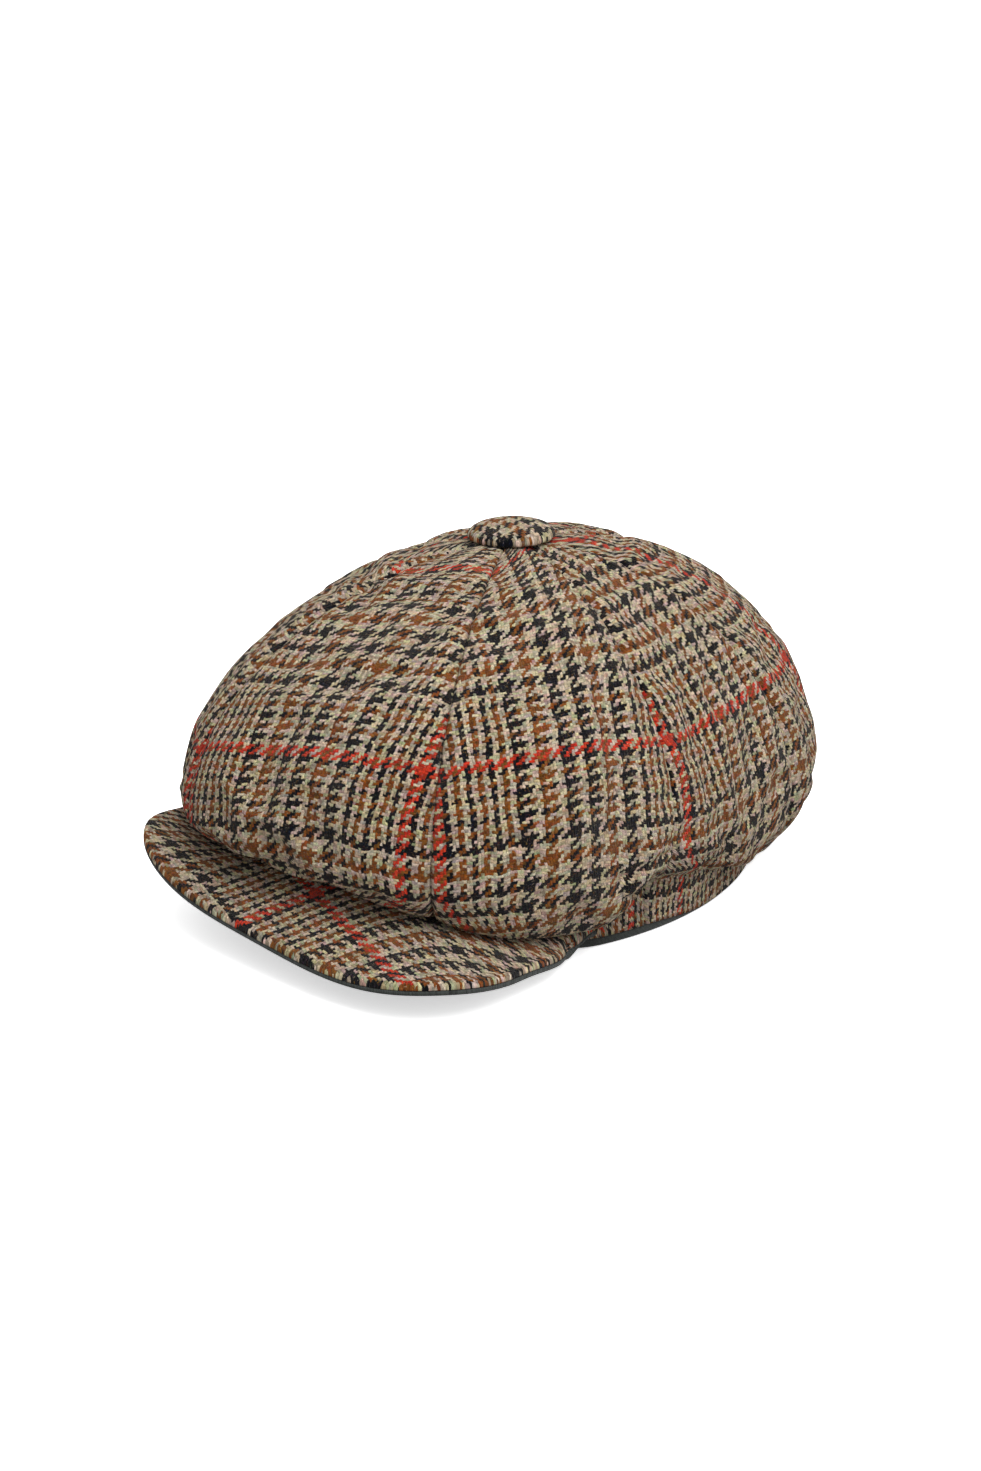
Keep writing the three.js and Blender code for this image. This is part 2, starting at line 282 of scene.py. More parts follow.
class Nodes:
    """A few short ways to write shader nodes."""

    def __init__(self, name):
        self.material = bpy.data.materials.new(name)
        self.material.use_nodes = True
        self.tree = self.material.node_tree
        self.shader = self.tree.nodes["Principled BSDF"]

    def add(self, kind, **settings):
        node = self.tree.nodes.new(kind)
        for key, value in settings.items():
            setattr(node, key, value)
        return node

    def link(self, source, target):
        if isinstance(source, (int, float)):
            target.default_value = source
        elif isinstance(source, tuple):
            target.default_value = source if len(source) == len(target.default_value) else (*source, 1)
        else:
            self.tree.links.new(source, target)

    def math(self, operation, a, b=None, c=None):
        node = self.add("ShaderNodeMath", operation=operation)
        for socket, value in zip(node.inputs, (a, b, c)):
            if value is not None:
                self.link(value, socket)
        return node.outputs[0]

    def mix(self, share, a, b, blend="MIX"):
        node = self.add("ShaderNodeMix", data_type="RGBA", blend_type=blend)
        self.link(share, node.inputs["Factor"])
        self.link(a, node.inputs[6])
        self.link(b, node.inputs[7])
        return node.outputs[2]

    def choose(self, share, a, b):
        node = self.add("ShaderNodeMix", data_type="FLOAT")
        self.link(share, node.inputs["Factor"])
        self.link(a, node.inputs[2])
        self.link(b, node.inputs[3])
        return node.outputs[0]

    def noise(self, vector, scale, detail=2.0, roughness=0.5, output=0):
        node = self.add("ShaderNodeTexNoise")
        self.link(vector, node.inputs["Vector"])
        self.link(scale, node.inputs["Scale"])
        self.link(detail, node.inputs["Detail"])
        self.link(roughness, node.inputs["Roughness"])
        return node.outputs[output]

    def random(self, vector, output="Value"):
        node = self.add("ShaderNodeTexWhiteNoise", noise_dimensions="3D")
        self.link(vector, node.inputs["Vector"])
        return node.outputs[output]

    def combine(self, x, y, z=0.0):
        node = self.add("ShaderNodeCombineXYZ")
        for socket, value in zip(node.inputs, (x, y, z)):
            self.link(value, socket)
        return node.outputs[0]

    def separate(self, vector):
        node = self.add("ShaderNodeSeparateXYZ")
        self.link(vector, node.inputs[0])
        return node.outputs

    def attribute(self, name):
        return self.add("ShaderNodeAttribute", attribute_name=name).outputs["Vector"]

    def ramp(self, share, stops, interpolation="LINEAR"):
        node = self.add("ShaderNodeValToRGB")
        node.color_ramp.interpolation = interpolation
        elements = node.color_ramp.elements
        while len(elements) < len(stops):
            elements.new(0.5)
        for element, (place, colour) in zip(elements, stops):
            element.position = place
            element.color = (*colour, 1)
        self.link(share, node.inputs[0])
        return node.outputs[0]

    def object_place(self):
        return self.add("ShaderNodeTexCoord").outputs["Object"]

    def bump(self, height, distance, strength=1.0):
        node = self.add("ShaderNodeBump")
        self.link(height, node.inputs["Height"])
        self.link(distance, node.inputs["Distance"])
        self.link(strength, node.inputs["Strength"])
        self.link(node.outputs[0], self.shader.inputs["Normal"])
        return node.outputs[0]

    def set(self, **values):
        for key, value in values.items():
            self.link(value, self.shader.inputs[key.replace("_", " ")])


def srgb(red, green, blue):
    """A linear colour from 0 to 255 display values."""
    def linear(value):
        value /= 255
        return value / 12.92 if value <= 0.04045 else ((value + 0.055) / 1.055) ** 2.4

    return linear(red), linear(green), linear(blue)


CREAM = srgb(203, 185, 158)
CHARCOAL = srgb(12, 14, 21)
RUST = srgb(134, 76, 30)
RED = srgb(204, 58, 36)

THREAD = 1.02 * MM  # from one thread to the next
REPEAT = 96  # threads from one red line to the next
RED_HALF = 2  # half of a red line's threads
FINE_END = 26  # the fine stripes run from the red line to here
WIDE_END = 74  # the wide stripes run from there to here, and fine ones go on to the next red line
FINE_STRIPE = 2  # threads
WIDE_STRIPE = 4
TWILL_SHIFT = 2  # threads that the twill is shifted by, so that fine stripes run up the cloth
STRIPES = [(0.0, CHARCOAL), (0.2, CREAM), (0.45, RUST), (0.7, CREAM)]  # in turn, every fourth alike

# Uneven tweed: each is a noise's scale, its detail, and how far it moves the weave, in threads.
WEAVE_WANDER = (0.09, 1.0, 1.8)
YARN_WANDER = (0.7, 1.0, 0.7)
FIBRE_FRAY = (2.2, 2.0, 0.9)
TINT_SHARE = 0.18
FLECK_SIZE = 1.3  # flecks to a thread
# Colours of the fibres that are spun into every yarn.
FLECKS = [(0.0, srgb(186, 140, 60)), (0.2, srgb(70, 84, 120)), (0.36, srgb(150, 84, 60)),
          (0.52, srgb(96, 116, 84)), (0.68, srgb(206, 186, 160)), (0.84, srgb(96, 66, 96))]


def greys(*stops):
    """Stops of a grey ramp from (place, brightness) pairs."""
    return [(place, (value,) * 3) for place, value in stops]


def yarn(n, place):
    """Colour of the thread at a place across the cloth."""
    thread = n.math("FLOORED_MODULO", n.math("FLOOR", place), REPEAT)
    is_wide = n.math("MULTIPLY", n.math("GREATER_THAN", thread, FINE_END - 0.5),
                     n.math("LESS_THAN", thread, WIDE_END - 0.5))
    fine = n.math("DIVIDE", n.math("SUBTRACT", thread, RED_HALF), FINE_STRIPE)
    wide = n.math("DIVIDE", n.math("SUBTRACT", n.math("PINGPONG", n.math("ADD", thread, 0.5), REPEAT / 2),
                                   FINE_END), WIDE_STRIPE)
    stripe = n.math("FLOOR", n.choose(is_wide, fine, wide))
    turn = n.math("DIVIDE", n.math("FLOORED_MODULO", stripe, 4), 4)
    striped = n.ramp(turn, STRIPES, "CONSTANT")
    from_red = n.math("PINGPONG", n.math("ADD", thread, 0.5), REPEAT / 2)
    return n.mix(n.math("LESS_THAN", from_red, RED_HALF), striped, RED)


def twill(n, across, along):
    """(share of warp on top, relief height) of a two-and-two twill."""
    diagonal = n.math("ADD", n.math("FLOOR", across), n.math("FLOOR", along))
    turned = n.math("FLOORED_MODULO", n.math("ADD", diagonal, TWILL_SHIFT), 4)
    on_top = n.math("LESS_THAN", turned, 2)
    crown_u = n.math("PINGPONG", across, 0.5)
    crown_v = n.math("PINGPONG", along, 0.5)
    height = n.choose(on_top, crown_v, crown_u)
    return on_top, n.math("POWER", n.math("MULTIPLY", height, 2), 0.6)


def shifted(n, vector, scale, detail, amount):
    """The vector moved about by noise."""
    noise = n.noise(vector, scale, detail, output=1)
    centred = n.add("ShaderNodeVectorMath", operation="SUBTRACT")
    n.link(noise, centred.inputs[0])
    centred.inputs[1].default_value = (0.5, 0.5, 0.5)
    scaled = n.add("ShaderNodeVectorMath", operation="SCALE")
    n.link(centred.outputs[0], scaled.inputs[0])
    scaled.inputs["Scale"].default_value = amount
    moved = n.add("ShaderNodeVectorMath", operation="ADD")
    n.link(vector, moved.inputs[0])
    n.link(scaled.outputs[0], moved.inputs[1])
    return moved.outputs[0]


def make_tweed():
    n = Nodes("tweed")
    thread = n.attribute("thread")
    # The weave wanders slowly, and fuzz frays the edge of each thread.
    woven = shifted(n, thread, *WEAVE_WANDER)
    frayed = shifted(n, shifted(n, woven, *YARN_WANDER), *FIBRE_FRAY)
    u, v, _ = n.separate(frayed)
    on_top, height = twill(n, u, v)
    colour = n.mix(on_top, yarn(n, v), yarn(n, u))

    # Each float of yarn has its own tone and tint.
    cell = n.combine(n.math("FLOOR", u), n.math("FLOOR", v), on_top)
    tone = n.ramp(n.random(cell), greys((0.0, 0.56), (1.0, 1.36)))
    colour = n.mix(1.0, colour, tone, "MULTIPLY")
    tint = n.random(n.combine(n.math("FLOOR", n.math("DIVIDE", u, 2)), n.math("FLOOR", v), 7.0), "Color")
    colour = n.mix(TINT_SHARE, colour, tint, "OVERLAY")

    # Fibres of other colours show here and there.
    fibre = n.noise(frayed, 1.7, 3.0, 0.75)
    fleck = n.random(n.combine(n.math("FLOOR", n.math("MULTIPLY", u, FLECK_SIZE)),
                               n.math("FLOOR", n.math("MULTIPLY", v, FLECK_SIZE)), 3.0))
    is_fleck = n.ramp(fibre, greys((0.56, 0.0), (0.7, 0.6)))
    colour = n.mix(is_fleck, colour, n.ramp(fleck, FLECKS, "CONSTANT"))
    shade = n.ramp(n.noise(frayed, 3.4, 2.0, 0.7), greys((0.3, 0.38), (0.72, 1.6)))
    colour = n.mix(1.0, colour, shade, "MULTIPLY")
    # Painted shade: the hollows between threads are darker.
    hollow_shade = n.ramp(height, greys((0.0, 0.5), (0.7, 1.0)))
    colour = n.mix(0.85, colour, hollow_shade, "MULTIPLY")

    fuzz = n.noise(thread, 5.0, 3.0, 0.7)
    relief = n.math("ADD", height, n.math("MULTIPLY", fuzz, 1.2))
    n.bump(relief, 0.5 * MM, 0.9)
    n.set(Base_Color=colour, Roughness=0.95, Sheen_Weight=0.16, Sheen_Roughness=0.3,
          Sheen_Tint=srgb(214, 206, 194), Specular_IOR_Level=0.1)
    return n.material


def make_plain_twill(name, dark, light, thread_pitch=0.55):
    """A plain-coloured twill cloth. thread_pitch is against the tweed's."""
    n = Nodes(name)
    thread = n.attribute("thread")
    u, v, _ = n.separate(thread)
    u = n.math("DIVIDE", u, thread_pitch)
    v = n.math("DIVIDE", v, thread_pitch)
    on_top, height = twill(n, u, v)
    tone = n.random(n.combine(n.math("FLOOR", u), n.math("FLOOR", n.math("DIVIDE", v, 3)), on_top))
    worn = n.noise(thread, 0.05, 3.0)
    # Painted shade: the hollows between threads get the dark colour, and the raised thread crowns get the
    # light one.
    colour = n.mix(n.math("MULTIPLY", height, 0.8), dark, light)
    colour = n.mix(1.0, colour, n.ramp(tone, greys((0.0, 0.8), (1.0, 1.2))), "MULTIPLY")
    colour = n.mix(1.0, colour, n.ramp(worn, greys((0.3, 0.88), (0.7, 1.1))), "MULTIPLY")
    n.bump(height, 0.25 * MM, 0.8)
    n.set(Base_Color=colour, Roughness=0.85, Sheen_Weight=0.15, Specular_IOR_Level=0.3)
    return n.material


def make_satin():
    n = Nodes("satin_lining")
    thread = n.attribute("thread")
    u, v, _ = n.separate(thread)
    line = n.noise(n.combine(n.math("MULTIPLY", u, 0.15), n.math("MULTIPLY", v, 4.0)), 1.0, 3.0)
    ripple = n.noise(thread, 0.06, 3.0)
    colour = n.mix(line, srgb(58, 50, 44), srgb(84, 74, 66))
    n.bump(n.math("ADD", line, n.math("MULTIPLY", ripple, 6.0)), 0.2 * MM, 0.5)
    rough = n.ramp(line, greys((0.0, 0.32), (1.0, 0.5)))
    n.set(Base_Color=colour, Roughness=rough, Anisotropic=0.6, Specular_IOR_Level=0.5)
    return n.material


def make_board():
    n = Nodes("stiffener")
    place = n.object_place()
    pulp = n.noise(place, 900.0, 4.0, 0.7)
    specks = n.noise(place, 3000.0, 2.0)
    colour = n.mix(pulp, srgb(196, 188, 172), srgb(226, 220, 206))
    colour = n.mix(n.math("GREATER_THAN", specks, 0.68), colour, srgb(150, 138, 118))
    n.bump(pulp, 0.1 * MM, 0.5)
    n.set(Base_Color=colour, Roughness=0.82)
    return n.material


def make_tin():
    n = Nodes("tin_plate")
    x, y, z = n.separate(n.object_place())
    streak = n.noise(n.combine(n.math("MULTIPLY", x, 4000.0), n.math("MULTIPLY", y, 300.0), z), 1.0, 3.0)
    spots = n.noise(n.object_place(), 700.0, 3.0)
    colour = n.mix(spots, (0.52, 0.53, 0.54), (0.66, 0.67, 0.68))
    n.bump(streak, 0.02 * MM, 0.4)
    n.set(Base_Color=colour, Metallic=1.0, Roughness=n.ramp(streak, greys((0.0, 0.25), (1.0, 0.45))))
    return n.material


LABEL_THREADS = 2600.0  # to a metre


def make_label():
    n = Nodes("label_cloth")
    x, _, z = n.separate(n.object_place())
    u = n.math("MULTIPLY", x, LABEL_THREADS)
    v = n.math("MULTIPLY", z, LABEL_THREADS)
    on_top, height = twill(n, u, v)
    # Painted shade: the hollows between threads are darker.
    colour = n.mix(height, srgb(206, 200, 188), srgb(240, 237, 229))
    n.bump(height, 0.08 * MM, 0.7)
    n.set(Base_Color=colour, Roughness=0.6, Sheen_Weight=0.1)
    return n.material


TWEED = make_tweed()
DARK_TWILL = make_plain_twill("dark_cloth", srgb(30, 33, 32), srgb(66, 71, 67))
SATIN = make_satin()
BOARD = make_board()
TIN = make_tin()
LABEL = make_label()


def dress(obj, material, slot, *nodes):
    """Gives a piece its material and hides the CAD nodes that it stands for."""
    obj.data.materials.append(material)
    if nodes:
        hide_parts(*nodes)
    return obj


# ---------- visor ----------

# The rim is part of a squared oval, seen from above.
VISOR_HALF_WIDTH = 83.5 * MM
VISOR_MIDDLE_Y = OPENING_Y - 102 * MM
VISOR_FRONT = 46.5 * MM  # from the oval's middle
VISOR_BACK = 48 * MM
VISOR_SQUARENESS = 3.4
VISOR_RIM_TURN = 128  # degrees of the oval at each end
VISOR_ROOT_TURN = 60.5  # degrees of the head opening at each end
VISOR_SPAN = 0.96  # share of both that the cloth runs to
BOARD_SPAN = 0.8  # and the board inside it
BOARD_REACH = 0.95  # how near the board comes to the rim
ROOT_GAP_FRONT = 0.9 * MM  # from the crown's cloth
ROOT_GAP_END = 2.5 * MM
ROOT_FRONT = 34 * MM  # height of the sewn root
ROOT_END = 8 * MM
RIM_FRONT = 16 * MM  # height of the rim
RIM_LIFT = 7.5 * MM
VISOR_ROLL = 0.105  # the wearer's left side of the rim hangs lower, as displayed
VISOR_YAW = -6.5  # degrees that the rim is turned, the same side forwards
VISOR_PIVOT_Y = OPENING_Y - 90 * MM

# Heights of the visor's layers over its middle surface.
VISOR_TOP = 2.6 * MM
VISOR_TOP_INSIDE = 1.2 * MM
VISOR_BOARD_HALF = 0.8 * MM
VISOR_UNDER_INSIDE = -1.1 * MM
VISOR_UNDER = -2.4 * MM
# They close up at the edge, within this distance.
VISOR_EDGE = 1.5 * MM
EDGE_LIP = 0.1 * MM
TWEED_LIP = 0.3 * MM
UNDER_LIP = -1.2 * MM

# The visor's cloth is cut on the bias: its red lines cross here and run along these directions.
VISOR_CROSS = (3 * MM, OPENING_Y - 126 * MM)
VISOR_GRAIN = 37  # degrees
VISOR_SLOPE = 1.12  # length down the slope for each length in plan
VISOR_SKEW = 0.25  # how far the weave is pulled out of square


def visor_middle(share, depth):
    """A point of the visor's middle surface, from the band (depth 0) to the rim (1)."""
    gap = lerp(ROOT_GAP_FRONT, ROOT_GAP_END, share**2)
    root_x, root_y = band_outline(np.radians(VISOR_ROOT_TURN) * share, CLOTH_OUTSIDE + gap)
    turn = np.radians(VISOR_RIM_TURN) * share
    power = 2 / VISOR_SQUARENESS
    rim_x = VISOR_HALF_WIDTH * np.sign(turn) * np.abs(np.sin(turn)) ** power
    reach = np.where(np.cos(turn) > 0, VISOR_FRONT, -VISOR_BACK)
    rim_y = VISOR_MIDDLE_Y - np.abs(np.cos(turn)) ** power * reach
    root_z = lerp(ROOT_END, ROOT_FRONT, np.cos(share * np.pi / 2) ** 2)
    rim_z = RIM_FRONT + RIM_LIFT * np.sin(np.pi * share) ** 2
    x, y, z = lerp(root_x, rim_x, depth), lerp(root_y, rim_y, depth), lerp(root_z, rim_z, depth)
    loose = smooth(depth)
    z = z - VISOR_ROLL * x * loose
    yaw = math.radians(VISOR_YAW) * loose
    turned_x = x * np.cos(yaw) - (y - VISOR_PIVOT_Y) * np.sin(yaw)
    turned_y = x * np.sin(yaw) + (y - VISOR_PIVOT_Y) * np.cos(yaw) + VISOR_PIVOT_Y
    return np.stack([turned_x, turned_y, z], -1)


VISOR_COLUMNS = 180
VISOR_DEPTHS = 44
END_CLOSENESS = 0.25


def visor_shares(span):
    """Shares across the visor, close together near both ends."""
    even = np.linspace(-1, 1, VISOR_COLUMNS + 1)
    return lerp(even, np.sin(even * np.pi / 2), END_CLOSENESS) * span


def visor_depths(reach=1.0):
    """Depths, close together near the rim, where the edge is rounded."""
    even = np.linspace(0, 1, VISOR_DEPTHS + 1)
    return (1 - (1 - even) ** 1.7) * reach


def edge_distance(points):
    """How far each point of the visor is from the nearest part of its rim or its ends, in the plan."""
    plan = points[..., :2]
    edge = np.concatenate([plan[:, 0], plan[-1], plan[::-1, -1]])
    between = np.linspace(0, 1, 4)[:, None, None]
    edge = lerp(edge[:-1], edge[1:], between).reshape(-1, 2)
    return np.stack([np.linalg.norm(row[:, None] - edge, axis=-1).min(axis=1) for row in plan])


def visor_sheet(name, low, high, low_lip, high_lip, reach=1.0, span=VISOR_SPAN):
    """One layer of the visor between two heights over its middle surface, closing to lips at the edge."""
    depth, share = np.meshgrid(visor_depths(reach), visor_shares(span), indexing="ij")
    middle = visor_middle(share, depth)
    inside = np.clip(1 - edge_distance(middle) / VISOR_EDGE, 0, 1)
    bend = round_off(inside)
    top = middle.copy()
    top[..., 2] += lerp(high, high_lip, bend)
    under = middle.copy()
    under[..., 2] += lerp(low, low_lip, bend)
    slope = (middle[..., 1] - VISOR_CROSS[1]) * VISOR_SLOPE
    side = middle[..., 0] - VISOR_CROSS[0]
    grain = math.radians(VISOR_GRAIN)
    u = (side * math.cos(grain) - slope * math.sin(grain)) / THREAD
    v = (-side * math.sin(grain) - slope * math.cos(grain)) / THREAD + VISOR_SKEW * u
    return closed_sheet(name, top, under, np.stack([u, v], -1))


visor_tweed = visor_sheet("visor_tweed", VISOR_TOP_INSIDE, VISOR_TOP, 0.0, TWEED_LIP)
dress(visor_tweed, TWEED, "tweed", "visor_top_cover")
visor_board = visor_sheet("visor_stiffener", -VISOR_BOARD_HALF, VISOR_BOARD_HALF, -EDGE_LIP, EDGE_LIP,
                          BOARD_REACH, BOARD_SPAN)
dress(visor_board, BOARD, "stiffener", "visor_board")
visor_under = visor_sheet("visor_under_cloth", VISOR_UNDER, VISOR_UNDER_INSIDE, UNDER_LIP, -EDGE_LIP)
dress(visor_under, DARK_TWILL, "dark_cloth", "visor_under_cover")

# ---------- tweed crown ----------

SEAMS = [-SEAM_ANGLES[0], *SEAM_ANGLES, *[360 - angle for angle in reversed(SEAM_ANGLES)]]

# Grid of each panel: columns across it, and rows down the dome, the tuck and the stand against the band.
PANEL_COLUMNS = 64
DOME_ROWS = 96
TUCK_ROWS = 30
STAND_ROWS = 12
SEAM_ROLL = 1.7 * MM  # radius that each panel's edge turns in with
SEAM_VALLEY = 0.9 * MM  # depth of the dip along each seam
SEAM_VALLEY_WIDTH = 5 * MM
SEAM_CLOSENESS = 0.35
HANG_START = 0.75  # share down the crown where it starts to sag

# How the check lies on the crown: (degrees, millimetres from the top along the cloth to the red ring).
RED_RING = [(-180, 140), (-160, 138), (-135, 130), (-110, 118), (-90, 113), (-70, 118), (-47, 132),
            (-24, 147), (-10, 141), (0, 136), (12, 134.5), (24, 134), (40, 122), (47, 117.5), (61, 112.5),
            (76, 111), (93, 108), (113, 111.5), (131, 122), (160, 136), (180, 140)]
UPPER_EASE = 0.96  # the cloth is eased a little over the top
TUCK_GATHER = 1.4  # and gathered where it turns in to the band
# Where each panel's middle falls in the check, in threads.
PANEL_SHIFT = {"front": 1, "left": -14, "back_left": -44, "right": 14, "back_right": 44}
# How much some panels are eased across, so that their red lines fall behind the seams.
PANEL_EASE = {"front_left": 0.92, "front_right": 0.92}


def panel_angle(index, columns):
    """Angles of shares across a panel, from one seam (-1) to the next (1)."""
    start, stop = math.radians(SEAMS[index]), math.radians(SEAMS[index + 1])
    return (start + stop) / 2 + (stop - start) / 2 * columns


def panel_rows():
    """Shares down the crown: dense at the widest line, then the tuck and the stand (2 to 3)."""
    dome = np.linspace(0.02, 1, DOME_ROWS, endpoint=False)
    tuck = np.linspace(1, 2, TUCK_ROWS, endpoint=False)
    stand = np.linspace(2, 3, STAND_ROWS + 1)
    return np.concatenate([dome, tuck, stand])


def panel_columns():
    """Shares across a panel from -1 to 1, denser at both seams, where the edge rolls in."""
    even = np.linspace(-1, 1, PANEL_COLUMNS + 1)
    return lerp(even, np.sin(even * np.pi / 2), SEAM_CLOSENESS)


def crown_skin(angle, share):
    """The crown with its stand against the band (share 2 to 3) and a rounded crease between them."""
    fold = tweed_fold_height(angle)
    points = crown_point(angle, np.minimum(share, 2), 0, fold, CLOTH_OUTSIDE)
    band_x, band_y = band_outline(angle, CLOTH_OUTSIDE)
    hang = np.sin(np.clip((share - HANG_START) / (2 - HANG_START), 0, 1) ** 1.6 * np.pi)
    points[..., 2] -= sag_depth(angle) * hang
    z = lerp(fold, tweed_edge_height(angle), np.clip(share - 2, 0, 1))
    stand = np.stack([band_x, band_y, z], -1)
    return np.where((share > 2)[..., None], stand, points)


def skin_normal(angle, share):
    """Unit normals of the crown's skin. Both panels at a seam get the same ones."""
    over = crown_skin(angle + 0.01, share) - crown_skin(angle - 0.01, share)
    down = crown_skin(angle, np.minimum(share + 0.04, 3)) - crown_skin(angle, share - 0.015)
    normal = np.cross(down, over)
    return normal / np.linalg.norm(normal, axis=-1, keepdims=True)


# Waves of the loose cloth over the band: (waves round the crown, turn down it, start, share of the size).
SLACK_WAVES = [(5, 2.2, 1.3, 0.9), (11, -3.1, 0.4, 0.5), (17, 5.3, 2.1, 0.28)]
SLACK_SIZE = 1.2  # millimetres
UPPER_WAVE = 0.7  # of the dome, in millimetres


def slack(angle, share):
    """Soft, slow unevenness of cloth that is stuffed but not stretched, as a distance outwards."""
    lower = window(share, 0.45, 0.5, 2.3, 0.4)
    wave = sum(size * np.sin(count * angle + turn * share + start)
               for count, turn, start, size in SLACK_WAVES)
    upper = np.sin(3 * angle + 0.7) * np.sin(share * np.pi) * UPPER_WAVE
    return (wave * lower * SLACK_SIZE + upper * (share < 1)) * MM


# Soft creases: (degrees, millimetres high) at each end, then depth and width in millimetres.
CREASES = [((56, 36), (78, 42), 2.2, 3.0), ((57, 27), (80, 33), 2.0, 2.6), ((58, 20), (84, 27), 1.1, 3.0),
           ((88, 30), (108, 44), 1.4, 3.2), ((-62, 30), (-92, 40), 2.0, 3.2),
           ((-70, 22), (-104, 30), 1.6, 2.8), ((128, 20), (158, 34), 2.0, 3.4),
           ((-132, 24), (-168, 30), 2.0, 3.4), ((28, 30), (44, 36), 1.0, 3.0)]


def crease_depth(angle, height):
    """Depth of the creases at each point. A crease is sharp at its first end and fades to its second."""
    depth = np.zeros_like(angle)
    around = np.radians(from_front(angle)) * CROWN_HALF_WIDTH
    for (start, low), (stop, high), deep, width in CREASES:
        first = np.array([math.radians(start) * CROWN_HALF_WIDTH, low * MM])
        step = np.array([math.radians(stop) * CROWN_HALF_WIDTH, high * MM]) - first
        offset_x, offset_z = around - first[0], height - first[1]
        share = np.clip((offset_x * step[0] + offset_z * step[1]) / (step @ step), 0, 1)
        away = np.hypot(offset_x - share * step[0], offset_z - share * step[1])
        fade = np.sqrt(np.clip(1.1 - share, 0, 1))
        depth += deep * MM * fade * np.exp(-((away / (width * MM * (0.7 + 0.9 * share))) ** 2))
    return depth


# ---------- cloth simulation of the crown ----------

DRAPE_COLUMNS = 12  # in each panel
DRAPE_SHARES = np.concatenate([np.linspace(0.1, 1, 30, endpoint=False), np.linspace(1, 2, 17)])
DRAPE_FRAMES = 18
DRAPE_SLACK = 0.025  # how much larger the cloth is than the space it fills
DRAPE_LIMIT = 1.8 * MM
DRAPE_PRESSURE = 0.15  # of the stuffing
SEAM_HOLD = 0.9  # how firmly the seams keep their place, and the cloth between them
CLOTH_HOLD = 0.2


def drape_cells():
    """Angles of the coarse columns all the way round, with the seams shared."""
    places = []
    for start, stop in zip(SEAMS[:-1], SEAMS[1:]):
        places.append(np.radians(np.linspace(start, stop, DRAPE_COLUMNS, endpoint=False)))
    return np.concatenate(places)


def drape():
    """How far the coarse crown moves when its cloth settles: rows by columns by xyz."""
    angle, share = np.meshgrid(drape_cells(), DRAPE_SHARES)
    points = crown_skin(angle, share)
    rows, columns = angle.shape
    index = np.arange(rows * columns).reshape(rows, columns)
    over = np.roll(index, -1, axis=1)
    faces = np.stack([index[:-1], index[1:], over[1:], over[:-1]], -1).reshape(-1, 4).tolist()
    cloth = new_object("drape", points, faces)
    hold = np.full((rows, columns), CLOTH_HOLD)
    hold[:, ::DRAPE_COLUMNS] = SEAM_HOLD
    hold[:3] = hold[-2:] = 1
    group = cloth.vertex_groups.new(name="hold")
    for vertex, weight in enumerate(hold.ravel()):
        group.add([vertex], float(weight), "REPLACE")
    settings = cloth.modifiers.new("cloth", "CLOTH").settings
    settings.quality = 5
    settings.mass = 0.02
    settings.tension_stiffness = 12
    settings.compression_stiffness = 12
    settings.shear_stiffness = 4
    settings.bending_stiffness = 0.6
    settings.air_damping = 4
    settings.vertex_group_mass = "hold"
    settings.pin_stiffness = 1
    settings.shrink_min = settings.shrink_max = -DRAPE_SLACK
    settings.use_pressure = True
    settings.uniform_pressure_force = DRAPE_PRESSURE
    cloth.modifiers["cloth"].point_cache.frame_end = DRAPE_FRAMES
    cloth.modifiers["cloth"].collision_settings.use_collision = False
    scene = bpy.context.scene
    for step in range(1, DRAPE_FRAMES + 1):
        scene.frame_set(step)
    settled = cloth.evaluated_get(bpy.context.evaluated_depsgraph_get()).data
    moved = np.empty(rows * columns * 3)
    settled.vertices.foreach_get("co", moved)
    scene.frame_set(1)
    bpy.data.objects.remove(cloth)
    change = moved.reshape(points.shape) - points
    length = np.linalg.norm(change, axis=-1, keepdims=True)
    return change * DRAPE_LIMIT * np.tanh(length / DRAPE_LIMIT) / np.maximum(length, 1e-9)


def spread_weights(places, targets):
    """Weights that carry values at some places smoothly to other places."""
    columns = [smooth_curve(list(zip(places, unit)), targets) for unit in np.eye(len(places))]
    return np.stack(columns, 1)


DRAPE = drape()


def drape_on_panel(index):
    """The drape of one panel on its fine grid."""
    columns = (np.arange(DRAPE_COLUMNS + 1) + index * DRAPE_COLUMNS) % DRAPE.shape[1]
    down = spread_weights(DRAPE_SHARES, panel_rows())
    over = spread_weights(np.linspace(-1, 1, DRAPE_COLUMNS + 1), panel_columns())
    fade = window(panel_rows(), 0, 0.3, 2.05, 0.2)
    return np.einsum("ri,ijk,cj->rck", down, DRAPE[:, columns], over) * fade[:, None, None]


CONTACT_GAP = 1.2 * MM  # between the visor and the cloth that lies on it
CONTACT_SOFTNESS = 1.5 * MM


def rest_on_visor(points, share):
    """Lifts the overhanging cloth so that it lies on the visor instead of going through it."""
    visor = BVHTree.FromPolygons([v.co for v in visor_tweed.data.vertices],
                                 [p.vertices for p in visor_tweed.data.polygons])
    for row, column in zip(*np.nonzero((share > 0.9) & (share < 2.0) & (points[..., 1] < OPENING_Y))):
        x, y, z = points[row, column]
        hit = visor.ray_cast(Vector((x, y, CROWN_TOP)), Vector((0, 0, -1)))[0]
        if hit is not None:
            floor = hit.z + CONTACT_GAP
            points[row, column, 2] = (z + floor + math.hypot(z - floor, CONTACT_SOFTNESS)) / 2
    return points


def lengths_along(points, axis):
    """Distance of each point of a grid along the cloth from the grid's first edge."""
    step = np.linalg.norm(np.diff(points, axis=axis), axis=-1)
    return np.insert(np.cumsum(step, axis=axis), 0, 0, axis=axis)


